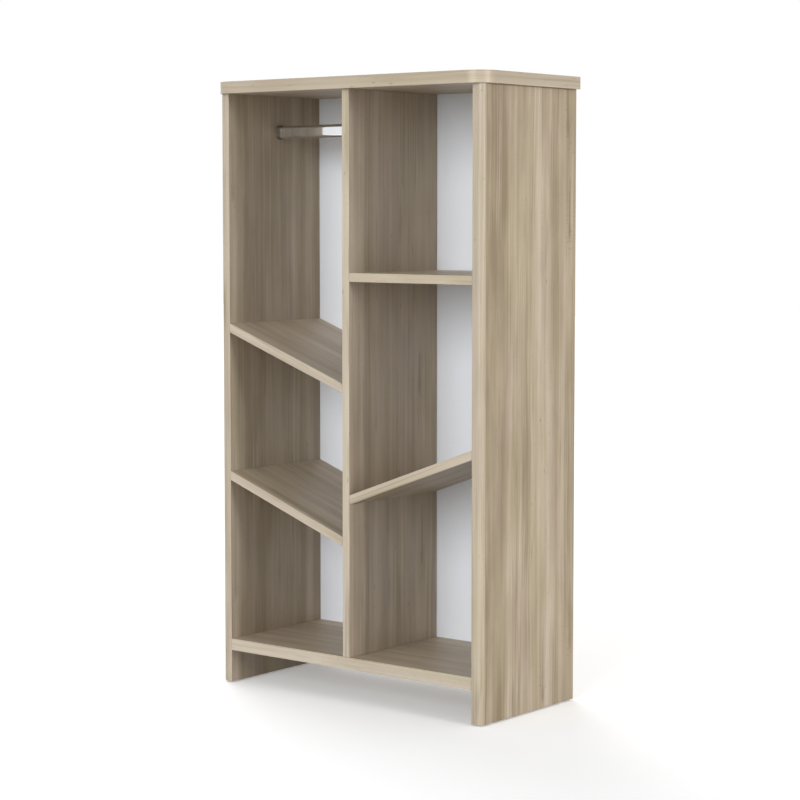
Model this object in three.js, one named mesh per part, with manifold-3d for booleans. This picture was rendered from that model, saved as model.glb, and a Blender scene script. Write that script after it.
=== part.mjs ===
// A children's bookshelf of decor boards, with tilted shelves, a hanging rail and a white back. Millimetres.
// +Z is up, the open front faces -Y, and the origin is on the floor under the middle of the outer box.
// Inside the casework group, y counts from the front edges of the sides and z from the floor.
import * as THREE from "three";
import { mergeVertices } from "three/addons/utils/BufferGeometryUtils.js";
import Module from "manifold-3d";

const wasm = await Module();
wasm.setup();

// The case
const caseWidth = 690; // over the two sides
const caseDepth = 317; // front to back edge of a side
const caseHeight = 1278; // floor to upper face of the top
const outerThickness = 25; // sides, top and bottom shelf
const innerThickness = 18; // divider and inner shelves
const legClearance = 71; // floor to underside of the bottom shelf
const sideEdgeRadius = 12; // outer front edge of each side
const topOverhangSide = 10;
const topOverhangFront = 13;
const topCornerRadius = 43;

// The inner shelves: height of the middle of the upper face over the floor
const leftUpperHeight = 714;
const leftLowerHeight = 400;
const rightFlatHeight = 883;
const rightTiltedHeight = 487;
const shelfTilt = 20; // degrees

// The back: two sheets in grooves, joined by a plastic strip behind the divider
const backThickness = 3;
const backRecess = 22; // back edge of a side to the sheets
const grooveDepth = 5;
const joinerWidth = 16;
const joinerWall = 1.2;

// The hanging rail and the cups that hold it
const railHeight = 28;
const railDepth = 14;
const railWall = 1;
const railDrop = 76.5; // underside of the top to the rail's axis
const socketLength = 12;
const socketFloor = 3;
const socketWall = 1.2;

// Cams and their bolts, which pull the bottom shelf to the sides
const camRadius = 7.3;
const camBevel = 0.6;
const camRoof = 1.6; // over the room for the bolt's head
const camChamberRadius = 5;
const camReach = 24; // face of the side to the cam's axis
const boltInSide = 11;
const boltTip = 2;
const boltThreadRadius = 3.1;
const boltCollarRadius = 3.7;
const boltCollarLength = 3;
const boltShankRadius = 2.8;
const boltNeckRadius = 2.1;
const boltNeckSpare = 1; // of the neck out of the cam
const boltHeadRadius = 3.4;
const boltHeadLength = 3;

// Case screws, which hold the top down and the divider up, and the caps over the upper ones
const caseScrewLength = 50;
const caseScrewThreadRadius = 3.2;
const caseScrewCollarRadius = 3.5;
const caseScrewCollarLength = 12;
const caseScrewHeadRadius = 5;
const capRadius = 6.5;
const capThickness = 2;
const capBevel = 0.5;
const capPinLength = 2;

// Small countersunk screws, in the rail sockets and the wall bracket
const smallScrewLength = 15;
const smallScrewRadius = 1.75;
const smallScrewHeadRadius = 3.5;
const smallScrewHeadHeight = 1.9;

// Dowels
const dowelRadius = 4;
const dowelLength = 30;
const dowelInPanel = 12;
const dowelBevel = 1;

// Glides under the sides
const glideRadius = 10;
const glideHeight = 3;
const glideBevel = 1;
const nailRadius = 1.3;
const nailLength = 14;
const nailTip = 2;

// The wall bracket, behind the back under the middle of the top
const bracketWidth = 40;
const bracketDrop = 35;
const bracketWall = 2.2;
const bracketHoleRadius = 2.6;
const bracketHoleDrop = 22; // top of the bracket to its wall hole
const bracketScrewInset = 9; // ends of the bracket to its screws

// Where fixings sit along the depth: from the front edge, and as far from the sheets of the back
const cornerInset = 45;
const leftDowelInset = 60;
const rightDowelInset = 80; // staggered, so that opposite dowels never meet in the divider
const glideInset = 40;

// Clearances
const seam = 0.3; // between pieces that touch
const boreEnd = 1; // past the end of what a bore holds
const bracketToJoiner = 1.5;

// Drives in the heads
const hexCorner = 2.1; // corner radius of the hexagon
const camCrossReach = 3.2;
const screwCrossReach = 1.6;
const crossWidth = 0.9;
const crossDepth = 1.1;

// Fineness and working values
const roundSides = 10;
const fineSides = 18;
const arcSteps = 7;
const threadPitch = 6;
const threadDepth = 0.7;
const cutOver = 1; // how far a cutter stands out of what it cuts
const mergeDistance = 1e-4;

// Worked out from the above
const innerHalf = caseWidth / 2 - outerThickness;
const columnWidth = innerHalf - innerThickness / 2;
const topUnderside = caseHeight - outerThickness;
const bottomShelfTop = legClearance + outerThickness;
const backFace = caseDepth - backRecess - backThickness;
const grooveFront = backFace - seam;
const grooveBack = backFace + backThickness + seam;
const joinerFront = grooveFront - joinerWall;
const joinerBack = grooveBack + joinerWall;
const dowelInShelf = dowelLength - dowelInPanel;
const railAxisY = caseDepth / 2;
const railAxisZ = topUnderside - railDrop;
const boltAxis = outerThickness / 2; // over the underside of the bottom shelf
const camHeadRoom = boltHeadRadius + seam;
const camHeight = boltAxis + camHeadRoom + camRoof;
const cappedSink = capThickness + seam;
const plainSink = seam;
const bracketDepth = caseDepth - joinerBack - bracketToJoiner;
const bracketScrewX = bracketWidth / 2 - bracketScrewInset;
const bracketScrewY = (bracketDepth + bracketWall) / 2; // from the back edge
const cornerRows = { front: cornerInset, back: backFace - cornerInset };
const glideRows = { front: glideInset, back: caseDepth - glideInset };
const sides = { left: -1, right: 1 };

const up = new THREE.Vector3(0, 0, 1);
const down = new THREE.Vector3(0, 0, -1);
const alongX = (sign) => new THREE.Vector3(sign, 0, 0);

// Materials
function finish(color, roughness, metalness = 0) {
  return new THREE.MeshStandardMaterial({ color, roughness, metalness });
}
const decorBoard = finish(0xbfb199, 0.55);
const whiteBoard = finish(0xe9e9ea, 0.6);
const whitePlastic = finish(0xe4e4e2, 0.5);
const beigePlastic = finish(0xb9ab93, 0.5);
const beech = finish(0xcfae82, 0.7);
const chrome = finish(0xd8d8da, 0.1, 1);
const zincSteel = finish(0xb4b6ba, 0.35, 1);

// A closed geometry as a solid that can be cut and joined.
function solidOf(geometry) {
  const bare = geometry.clone();
  bare.deleteAttribute("normal");
  bare.deleteAttribute("uv");
  const merged = mergeVertices(bare, mergeDistance);
  const vertProperties = merged.attributes.position.array;
  const triVerts = new Uint32Array(merged.index.array);
  return new wasm.Manifold(new wasm.Mesh({ numProp: 3, vertProperties, triVerts }));
}

function geometryOf(solid) {
  const mesh = solid.getMesh();
  const geometry = new THREE.BufferGeometry();
  geometry.setAttribute("position", new THREE.BufferAttribute(mesh.vertProperties, 3));
  geometry.setIndex(new THREE.BufferAttribute(mesh.triVerts, 1));
  geometry.computeVertexNormals();
  return geometry;
}

// A geometry with cutters taken out of it.
function cut(geometry, cutters) {
  const cutSolid = (solid, cutter) => solid.subtract(solidOf(cutter));
  return geometryOf(cutters.reduce(cutSolid, solidOf(geometry)));
}

function join(a, b) {
  return geometryOf(solidOf(a).add(solidOf(b)));
}

// A block between two opposite corners, given in any order.
function block(a, b) {
  const size = a.map((value, i) => Math.abs(b[i] - value));
  const middle = a.map((value, i) => (value + b[i]) / 2);
  return new THREE.BoxGeometry(...size).translate(...middle);
}

function extrude(outline, depth) {
  return new THREE.ExtrudeGeometry(outline, { depth, bevelEnabled: false, curveSegments: arcSteps });
}

// An outline of [y, z] extruded along +X.
function extrudeAlongX(outline, length) {
  return extrude(outline, length).rotateX(Math.PI / 2).rotateZ(Math.PI / 2);
}

function outlineOf(points) {
  return new THREE.Shape(points.map(([x, y]) => new THREE.Vector2(x, y)));
}

// A round or tapered cutter from a point along a direction. No flat of it comes nearer to the axis than its radius.
function roundCutter(start, direction, length, startRadius, endRadius, count) {
  const spread = 1 / Math.cos(Math.PI / count);
  const cutter = new THREE.CylinderGeometry(endRadius * spread, startRadius * spread, length, count);
  cutter.translate(0, length / 2, 0).rotateX(Math.PI / 2);
  cutter.applyQuaternion(new THREE.Quaternion().setFromUnitVectors(up, direction));
  return cutter.translate(...start);
}

// A cutter for a bore that starts at a face and runs into the piece.
function bore(face, direction, depth, radius, count = roundSides) {
  const start = new THREE.Vector3(...face).addScaledVector(direction, -cutOver);
  return roundCutter(start.toArray(), direction, depth + cutOver, radius, radius, count);
}

// A cutter for a countersink that narrows from outer to inner, with its cone drawn on a little in front of it.
function countersink(face, direction, depth, outer, inner) {
  const start = new THREE.Vector3(...face).addScaledVector(direction, -cutOver);
  const flare = outer + (cutOver * (outer - inner)) / depth;
  return roundCutter(start.toArray(), direction, depth + cutOver, flare, inner, roundSides);
}

// A turned piece on the Z axis, from [radius, z] points that run upwards and start and end on the axis.
function turned(profile, count = roundSides) {
  const points = profile.map(([radius, z]) => new THREE.Vector2(radius, z));
  return new THREE.LatheGeometry(points, count).rotateX(Math.PI / 2);
}

// Ring threads between two heights, as profile points.
function threadRings(radius, from, to) {
  const rings = Math.max(1, Math.round((to - from) / threadPitch));
  const pitch = (to - from) / rings;
  const points = [];
  for (let i = 0; i < rings; i += 1) {
    points.push([radius - threadDepth, from + i * pitch]);
    points.push([radius, from + (i + 0.5) * pitch]);
  }
  points.push([radius - threadDepth, to]);
  return points;
}

// A cross drive as two cutters, sunk from the local plane z = 0 along inward (-1 or 1).
function crossDrive(reach, inward) {
  const half = crossWidth / 2;
  const start = -inward * cutOver;
  const end = inward * crossDepth;
  return [
    block([-reach, -half, start], [reach, half, end]),
    block([-half, -reach, start], [half, reach, end]),
  ];
}

// One entry for each inner shelf. The slope is positive where the shelf rises to the right.
const slope = Math.tan(THREE.MathUtils.degToRad(shelfTilt));
const innerShelves = [
  { name: "tilted_shelf_left_upper", side: "left", height: leftUpperHeight, slope: -slope },
  { name: "tilted_shelf_left_lower", side: "left", height: leftLowerHeight, slope: -slope },
  { name: "flat_shelf_right", side: "right", height: rightFlatHeight, slope: 0 },
  { name: "tilted_shelf_right", side: "right", height: rightTiltedHeight, slope },
];
for (const shelf of innerShelves) {
  const inset = shelf.side === "left" ? leftDowelInset : rightDowelInset;
  shelf.x = (sides[shelf.side] * (innerThickness + columnWidth)) / 2;
  shelf.upright = innerThickness * Math.hypot(1, shelf.slope); // the board's thickness measured upright
  shelf.dowelRows = { front: inset, back: backFace - inset };
}

// Height of a dowel's axis in a shelf's left (-1) or right (1) end. Halfway in, it lies in mid thickness.
function dowelHeight(shelf, end) {
  const offset = (end * (columnWidth - dowelInShelf)) / 2;
  return shelf.height - shelf.upright / 2 + offset * shelf.slope;
}

// The dowel bores of one column in an upright face. The face looks along facing (-1 or 1).
function shelfBores(side, faceX, facing) {
  const bores = [];
  for (const shelf of innerShelves.filter((entry) => entry.side === side)) {
    for (const y of Object.values(shelf.dowelRows)) {
      const start = [faceX, y, dowelHeight(shelf, -facing)];
      bores.push(bore(start, alongX(-facing), dowelInPanel + boreEnd, dowelRadius + seam));
    }
  }
  return bores;
}

// The bore of a rail socket's screw in an upright face. The face looks along facing (-1 or 1).
function railScrewBore(faceX, facing) {
  const depth = smallScrewLength - socketFloor + boreEnd;
  return bore([faceX, railAxisY, railAxisZ], alongX(-facing), depth, smallScrewRadius + seam);
}

// The cutters of a case screw's seat: the bore through and the countersink, which lies as deep as sink.
function caseScrewSeat(face, inward, sink) {
  const [x, y, z] = face;
  const clear = caseScrewCollarRadius + seam;
  const head = caseScrewHeadRadius + seam;
  return [
    bore(face, inward, outerThickness + cutOver, clear),
    countersink([x, y, z + inward.z * sink], inward, head - clear, head, clear),
  ];
}

// The bore of a case screw in the edge behind the board that its head is sunk in.
function caseScrewBore(start, inward, sink) {
  const depth = sink + caseScrewLength - outerThickness + boreEnd;
  return bore(start, inward, depth, caseScrewThreadRadius + seam);
}

// A side board, with its inner face on the local plane x = 0.
function sidePanel(name) {
  const side = sides[name];
  const foot = glideHeight;
  const head = topUnderside - seam;
  const outer = side * outerThickness;
  const arcX = side * (outerThickness - sideEdgeRadius);
  const outline = outlineOf([[0, 0], [0, caseDepth], [outer, caseDepth], [outer, sideEdgeRadius]]);
  outline.absarc(arcX, sideEdgeRadius, sideEdgeRadius, side > 0 ? 0 : Math.PI, -Math.PI / 2, side > 0);
  const board = extrude(outline, head - foot).translate(0, 0, foot);

  const cutters = shelfBores(name, 0, -side);
  for (const y of Object.values(cornerRows)) {
    const boltStart = [0, y, legClearance + boltAxis];
    cutters.push(bore(boltStart, alongX(side), boltInSide + boreEnd, boltThreadRadius + seam));
    cutters.push(caseScrewBore([outer / 2, y, head], down, cappedSink));
  }
  for (const y of Object.values(glideRows)) {
    cutters.push(bore([outer / 2, y, foot], up, nailLength + boreEnd, nailRadius + seam));
  }
  if (name === "left") cutters.push(railScrewBore(0, 1));
  const grooveFoot = bottomShelfTop - grooveDepth;
  cutters.push(
    block([-side * cutOver, grooveFront, grooveFoot], [side * grooveDepth, grooveBack, head + cutOver]),
  );
  return cut(board, cutters);
}

// The top board, with its underside on the local plane z = 0.
function topPanel() {
  const half = caseWidth / 2 + topOverhangSide;
  const front = -topOverhangFront;
  const r = topCornerRadius;
  const outline = outlineOf([[half, caseDepth], [-half, caseDepth], [-half, front + r]]);
  outline.absarc(r - half, front + r, r, Math.PI, 1.5 * Math.PI, false);
  outline.absarc(half - r, front + r, r, 1.5 * Math.PI, 2 * Math.PI, false);

  const cutters = [];
  for (const side of Object.values(sides)) {
    const screwX = side * (innerHalf + outerThickness / 2);
    for (const y of Object.values(cornerRows)) {
      const face = [screwX, y, outerThickness];
      cutters.push(...caseScrewSeat(face, down, cappedSink));
      cutters.push(bore(face, down, cappedSink, capRadius + seam, fineSides));
    }
    const start = [side * bracketScrewX, caseDepth - bracketScrewY, 0];
    cutters.push(bore(start, up, smallScrewLength - bracketWall + boreEnd, smallScrewRadius + seam));
  }
  for (const y of Object.values(cornerRows)) {
    cutters.push(bore([0, y, 0], up, dowelInPanel + boreEnd, dowelRadius + seam));
  }
  const grooveEnd = innerHalf + grooveDepth;
  cutters.push(block([-grooveEnd, grooveFront, -cutOver], [grooveEnd, grooveBack, grooveDepth]));
  return cut(extrude(outline, outerThickness), cutters);
}

// The bottom shelf, with its underside on the local plane z = 0.
function bottomShelf() {
  const half = innerHalf - seam;
  const grooveStart = [-half - cutOver, grooveFront, outerThickness - grooveDepth];
  const cutters = [block(grooveStart, [half + cutOver, grooveBack, outerThickness + cutOver])];
  const boltBore = Math.max(boltCollarRadius, boltHeadRadius) + seam;
  for (const y of Object.values(cornerRows)) {
    cutters.push(...caseScrewSeat([0, y, 0], up, plainSink));
    for (const side of Object.values(sides)) {
      const camX = side * (innerHalf - camReach);
      cutters.push(bore([camX, y, 0], up, camHeight + seam, camRadius + seam, fineSides));
      cutters.push(bore([side * half, y, boltAxis], alongX(-side), camReach, boltBore));
    }
  }
  return cut(block([-half, 0, 0], [half, caseDepth, outerThickness]), cutters);
}

function centreDivider() {
  const half = innerThickness / 2;
  const foot = bottomShelfTop + seam;
  const head = topUnderside - seam;
  const cutters = [
    ...shelfBores("left", -half, -1),
    ...shelfBores("right", half, 1),
    railScrewBore(-half, -1),
  ];
  for (const y of Object.values(cornerRows)) {
    cutters.push(bore([0, y, head], down, dowelInShelf + boreEnd, dowelRadius + seam));
    cutters.push(caseScrewBore([0, y, foot], up, plainSink));
  }
  return cut(block([-half, 0, foot], [half, joinerFront - seam, head]), cutters);
}

// An inner shelf with upright ends. The middle of its upper front edge is the local origin.
function innerShelf(shelf) {
  const half = columnWidth / 2 - seam;
  const rise = half * shelf.slope;
  const depth = grooveFront;
  const outline = outlineOf([
    [-half, -rise - shelf.upright],
    [half, rise - shelf.upright],
    [half, rise],
    [-half, -rise],
  ]);
  const board = extrude(outline, depth).rotateX(Math.PI / 2).translate(0, depth, 0);
  const cutters = [];
  for (const end of Object.values(sides)) {
    for (const y of Object.values(shelf.dowelRows)) {
      const start = [end * half, y, dowelHeight(shelf, end) - shelf.height];
      cutters.push(bore(start, alongX(-end), dowelInShelf + boreEnd, dowelRadius + seam));
    }
  }
  return cut(board, cutters);
}

// A sheet from a side's groove to the joiner's web.
function backPanel(side) {
  const outer = side * (innerHalf + grooveDepth - seam);
  const inner = side * (joinerWall / 2 + seam);
  const foot = bottomShelfTop - grooveDepth + seam;
  const head = topUnderside + grooveDepth - seam;
  return block([inner, backFace, foot], [outer, backFace + backThickness, head]);
}

// The H strip between the two sheets.
function backJoiner() {
  const half = joinerWidth / 2;
  const foot = bottomShelfTop + seam;
  const head = topUnderside - seam;
  const slots = Object.values(sides).map((side) => {
    const web = (side * joinerWall) / 2;
    return block([web, grooveFront, foot - cutOver], [side * (half + cutOver), grooveBack, head + cutOver]);
  });
  return cut(block([-half, joinerFront, foot], [half, joinerBack, head]), slots);
}

// The rail's upright oval outline, grown by an amount all round.
function oval(grow) {
  const radius = railDepth / 2 + grow;
  const straight = (railHeight - railDepth) / 2;
  const outline = new THREE.Shape();
  outline.absarc(0, straight, radius, 0, Math.PI, false);
  outline.absarc(0, -straight, radius, Math.PI, 2 * Math.PI, false);
  return outline;
}

function hangingRail(length) {
  const outline = oval(0);
  outline.holes.push(oval(-railWall));
  return extrudeAlongX(outline, length);
}

// A cup with its back on the local plane x = 0, open along +X, and a countersunk hole in its floor.
function railSocket() {
  const clear = smallScrewRadius + seam;
  const head = smallScrewHeadRadius + seam;
  const headDepth = smallScrewHeadHeight + seam;
  return cut(extrudeAlongX(oval(seam + socketWall), socketLength), [
    extrudeAlongX(oval(seam), socketLength).translate(socketFloor, 0, 0),
    bore([0, 0, 0], alongX(1), socketFloor + cutOver, clear),
    countersink([socketFloor, 0, 0], alongX(-1), headDepth, head, clear),
  ]);
}

// A cam standing on the local plane z = 0, which is its driven face. The bolt comes from +X, and the neck's
// slot sweeps a quarter turn to the mouth at +Y, where the bolt's head goes in before the cam is turned.
function cam() {
  const body = turned(
    [
      [0, 0],
      [camRadius - camBevel, 0],
      [camRadius, camBevel],
      [camRadius, camHeight - camBevel],
      [camRadius - camBevel, camHeight],
      [0, camHeight],
    ],
    fineSides,
  );
  const slot = boltNeckRadius + seam;
  const out = camRadius + cutOver;
  const floor = boltAxis - camHeadRoom;
  const roof = boltAxis + camHeadRoom;
  return cut(body, [
    roundCutter([0, 0, floor], up, roof - floor, camChamberRadius, camChamberRadius, fineSides),
    block([-slot, -slot, boltAxis - slot], [out, out, boltAxis + slot]),
    block([-camHeadRoom, 0, floor], [camHeadRoom, out, roof]),
    ...crossDrive(camCrossReach, 1),
  ]);
}

// A cam bolt on the Z axis, screwed in up to the local plane z = 0.
function camBolt() {
  const headStart = camReach - boltHeadLength / 2;
  const neckStart = camReach - camRadius - boltNeckSpare;
  return turned([
    [0, -boltInSide],
    ...threadRings(boltThreadRadius, boltTip - boltInSide, 0),
    [boltCollarRadius, seam],
    [boltCollarRadius, boltCollarLength],
    [boltShankRadius, boltCollarLength],
    [boltShankRadius, neckStart],
    [boltNeckRadius, neckStart],
    [boltNeckRadius, headStart],
    [boltHeadRadius, headStart],
    [boltHeadRadius, headStart + boltHeadLength],
    [0, headStart + boltHeadLength],
  ]);
}

// A case screw with the face of its head on the local plane z = 0 and its shank along -Z.
function caseScrew() {
  const coneEnd = caseScrewCollarRadius - caseScrewHeadRadius;
  const collarEnd = coneEnd - caseScrewCollarLength;
  const threadStart = caseScrewThreadRadius - caseScrewLength;
  const shank = turned([
    [0, -caseScrewLength],
    ...threadRings(caseScrewThreadRadius, threadStart, collarEnd),
    [caseScrewCollarRadius, collarEnd],
    [caseScrewCollarRadius, coneEnd],
    [caseScrewHeadRadius, 0],
    [0, 0],
  ]);
  return cut(shank, [bore([0, 0, 0], down, capPinLength + seam, hexCorner + seam, 6)]);
}

// A cap with its face on the local plane z = 0 and a hexagon pin that sits in the screw's drive.
function screwCap() {
  const disc = turned(
    [
      [0, -capThickness],
      [capRadius, -capThickness],
      [capRadius, -capBevel],
      [capRadius - capBevel, 0],
      [0, 0],
    ],
    fineSides,
  );
  const pin = new THREE.CylinderGeometry(hexCorner, hexCorner, capPinLength, 6).rotateX(Math.PI / 2);
  return join(disc, pin.translate(0, 0, seam - capThickness - capPinLength / 2));
}

// A small screw with the face of its head on the local plane z = 0 and its shank along -Z.
function smallScrew() {
  const shank = turned([
    [0, -smallScrewLength],
    [smallScrewRadius, 2 * smallScrewRadius - smallScrewLength],
    [smallScrewRadius, -smallScrewHeadHeight],
    [smallScrewHeadRadius, 0],
    [0, 0],
  ]);
  return cut(shank, crossDrive(screwCrossReach, -1));
}

// A dowel from the local plane z = 0 upwards.
function dowel() {
  return turned([
    [0, 0],
    [dowelRadius - dowelBevel, 0],
    [dowelRadius, dowelBevel],
    [dowelRadius, dowelLength - dowelBevel],
    [dowelRadius - dowelBevel, dowelLength],
    [0, dowelLength],
  ]);
}

// A glide that stands on the local plane z = 0, with its moulded-in nail.
function glide() {
  const nailEnd = glideHeight + nailLength;
  return turned(
    [
      [0, 0],
      [glideRadius - glideBevel, 0],
      [glideRadius, glideBevel],
      [glideRadius, glideHeight - seam],
      [nailRadius, glideHeight - seam],
      [nailRadius, nailEnd - nailTip],
      [0, nailEnd],
    ],
    fineSides,
  );
}

// An angle bracket. Its back and upper faces are the local planes y = 0 and z = 0.
function wallBracket() {
  const outline = outlineOf([
    [0, 0],
    [-bracketDepth, 0],
    [-bracketDepth, -bracketWall],
    [-bracketWall, -bracketWall],
    [-bracketWall, -bracketDrop],
    [0, -bracketDrop],
  ]);
  const angle = extrudeAlongX(outline, bracketWidth).translate(-bracketWidth / 2, 0, 0);
  const front = new THREE.Vector3(0, -1, 0);
  const clear = smallScrewRadius + seam;
  const head = smallScrewHeadRadius + seam;
  const cutters = [bore([0, 0, -bracketHoleDrop], front, bracketWall + cutOver, bracketHoleRadius)];
  for (const side of Object.values(sides)) {
    const start = [side * bracketScrewX, -bracketScrewY, -bracketWall];
    cutters.push(bore(start, up, bracketWall + cutOver, clear));
    cutters.push(countersink(start, up, smallScrewHeadHeight + seam, head, clear));
  }
  return cut(angle, cutters);
}

// The assembly
const bookshelf = new THREE.Group();
const casework = new THREE.Group();
casework.position.y = (topOverhangFront - caseDepth) / 2;
bookshelf.add(casework);

function addGroup() {
  const group = new THREE.Group();
  casework.add(group);
  return group;
}

function add(group, name, geometry, material, position = [0, 0, 0]) {
  const mesh = new THREE.Mesh(geometry, material);
  mesh.name = name;
  mesh.position.set(...position);
  group.add(mesh);
  return mesh;
}

// Adds a turned piece with its +Z along a direction.
function addAimed(group, name, geometry, material, position, direction) {
  const mesh = add(group, name, geometry, material, position);
  mesh.quaternion.setFromUnitVectors(up, direction);
}

const carcass = addGroup();
add(carcass, "side_panel_left", sidePanel("left"), decorBoard, [-innerHalf, 0, 0]);
add(carcass, "side_panel_right", sidePanel("right"), decorBoard, [innerHalf, 0, 0]);
add(carcass, "top_panel", topPanel(), decorBoard, [0, 0, topUnderside]);
add(carcass, "bottom_shelf", bottomShelf(), decorBoard, [0, 0, legClearance]);
add(carcass, "centre_divider", centreDivider(), decorBoard);

const shelving = addGroup();
const dowelShape = dowel();
for (const shelf of innerShelves) {
  add(shelving, shelf.name, innerShelf(shelf), decorBoard, [shelf.x, 0, shelf.height]);
  for (const [sideName, end] of Object.entries(sides)) {
    for (const [rowName, y] of Object.entries(shelf.dowelRows)) {
      const x = shelf.x + end * (columnWidth / 2 + dowelInPanel);
      const name = `${shelf.name}_dowel_${sideName}_${rowName}`;
      addAimed(shelving, name, dowelShape, beech, [x, y, dowelHeight(shelf, end)], alongX(-end));
    }
  }
}

const back = addGroup();
add(back, "back_panel_left", backPanel(sides.left), whiteBoard);
add(back, "back_panel_right", backPanel(sides.right), whiteBoard);
add(back, "back_panel_joiner", backJoiner(), whitePlastic);

const rail = addGroup();
const socketShape = railSocket();
const smallScrewShape = smallScrew();
const railFaces = { left: -innerHalf, right: -innerThickness / 2 };
for (const [sideName, faceX] of Object.entries(railFaces)) {
  const facing = -sides[sideName];
  const socketX = faceX + facing * seam;
  const socket = add(rail, `rail_socket_${sideName}`, socketShape, chrome, [socketX, railAxisY, railAxisZ]);
  socket.rotation.z = facing > 0 ? 0 : Math.PI;
  const headAt = [socketX + facing * socketFloor, railAxisY, railAxisZ];
  addAimed(rail, `rail_socket_screw_${sideName}`, smallScrewShape, zincSteel, headAt, alongX(facing));
}
const railStart = railFaces.left + socketFloor + 2 * seam;
const railEnd = railFaces.right - socketFloor - 2 * seam;
add(rail, "hanging_rail", hangingRail(railEnd - railStart), chrome, [railStart, railAxisY, railAxisZ]);

const fixings = addGroup();
const camShape = cam();
const boltShape = camBolt();
const caseScrewShape = caseScrew();
const capShape = screwCap();
const glideShape = glide();
for (const [rowName, y] of Object.entries(cornerRows)) {
  for (const [sideName, side] of Object.entries(sides)) {
    const place = `${sideName}_${rowName}`;
    const camAt = [side * (innerHalf - camReach), y, legClearance];
    const turnedCam = add(fixings, `cam_${place}`, camShape, zincSteel, camAt);
    turnedCam.rotation.z = side > 0 ? 0 : Math.PI;
    const boltAt = [side * innerHalf, y, legClearance + boltAxis];
    addAimed(fixings, `cam_bolt_${place}`, boltShape, zincSteel, boltAt, alongX(-side));
    const screwX = side * (innerHalf + outerThickness / 2);
    const screwAt = [screwX, y, caseHeight - cappedSink];
    addAimed(fixings, `top_screw_${place}`, caseScrewShape, zincSteel, screwAt, up);
    addAimed(fixings, `screw_cap_${place}`, capShape, beigePlastic, [screwX, y, caseHeight], up);
  }
  const topDowelAt = [0, y, topUnderside - seam - dowelInShelf];
  addAimed(fixings, `top_dowel_${rowName}`, dowelShape, beech, topDowelAt, up);
  const dividerScrewAt = [0, y, legClearance + plainSink];
  addAimed(fixings, `divider_screw_${rowName}`, caseScrewShape, zincSteel, dividerScrewAt, down);
}
for (const [rowName, y] of Object.entries(glideRows)) {
  for (const [sideName, side] of Object.entries(sides)) {
    const x = side * (innerHalf + outerThickness / 2);
    add(fixings, `glide_${sideName}_${rowName}`, glideShape, whitePlastic, [x, y, 0]);
  }
}

const bracketTop = topUnderside - seam;
add(fixings, "wall_bracket", wallBracket(), zincSteel, [0, caseDepth, bracketTop]);
for (const [sideName, side] of Object.entries(sides)) {
  const headAt = [side * bracketScrewX, caseDepth - bracketScrewY, bracketTop - bracketWall];
  addAimed(fixings, `wall_bracket_screw_${sideName}`, smallScrewShape, zincSteel, headAt, down);
}

export default bookshelf;
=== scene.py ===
"""A children's bookshelf: wood decor boards, tilted shelves, a chromed hanging rail and a white back.

Pieces are built in millimetres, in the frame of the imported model. They are scaled to metres when they
become objects.
"""
import functools
import math
import random

import bmesh
import bpy
from mathutils import Matrix, Vector


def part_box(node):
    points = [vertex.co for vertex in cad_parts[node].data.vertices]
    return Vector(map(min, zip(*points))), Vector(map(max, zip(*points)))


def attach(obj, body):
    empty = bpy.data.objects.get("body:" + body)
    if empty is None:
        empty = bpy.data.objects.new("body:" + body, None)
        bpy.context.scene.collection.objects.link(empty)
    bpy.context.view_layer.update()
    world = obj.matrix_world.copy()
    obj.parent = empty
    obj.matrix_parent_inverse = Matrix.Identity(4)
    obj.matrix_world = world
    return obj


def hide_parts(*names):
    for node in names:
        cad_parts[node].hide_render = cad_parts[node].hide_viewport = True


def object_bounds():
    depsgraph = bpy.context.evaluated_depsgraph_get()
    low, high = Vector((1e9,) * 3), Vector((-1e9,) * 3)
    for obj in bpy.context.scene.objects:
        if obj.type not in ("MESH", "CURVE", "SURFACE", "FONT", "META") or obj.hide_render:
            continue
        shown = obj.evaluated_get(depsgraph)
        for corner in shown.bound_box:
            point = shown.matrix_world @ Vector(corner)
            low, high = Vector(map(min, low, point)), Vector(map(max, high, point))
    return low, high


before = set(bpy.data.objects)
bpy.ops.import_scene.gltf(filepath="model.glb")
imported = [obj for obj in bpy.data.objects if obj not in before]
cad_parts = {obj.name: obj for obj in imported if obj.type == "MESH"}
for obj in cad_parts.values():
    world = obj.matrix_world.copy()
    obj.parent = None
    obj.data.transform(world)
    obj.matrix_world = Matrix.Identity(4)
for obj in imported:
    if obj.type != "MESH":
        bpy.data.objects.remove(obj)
cad_low, cad_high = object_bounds()

MM = 0.001
X = Vector((1, 0, 0))
Y = Vector((0, 1, 0))
Z = Vector((0, 0, 1))

# What there is
SIDES = {"left": -X, "right": X}
ROWS = ("front", "back")
OUTER_BOARDS = ("side_panel_left", "side_panel_right", "top_panel", "bottom_shelf")
INNER_SHELVES = (
    "tilted_shelf_left_upper",
    "tilted_shelf_left_lower",
    "flat_shelf_right",
    "tilted_shelf_right",
)
BOARDS = (*OUTER_BOARDS, "centre_divider", *INNER_SHELVES)
BANDED_ENDS = ("top_panel",)  # boards whose ends have a band, as their front edge has
BACK_SHEETS = ("back_panel_left", "back_panel_right")

# The material numbers of a board's faces
OUTER_FACE, BANDED_EDGE, RAW_EDGE, INNER_FACE = range(4)

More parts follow.
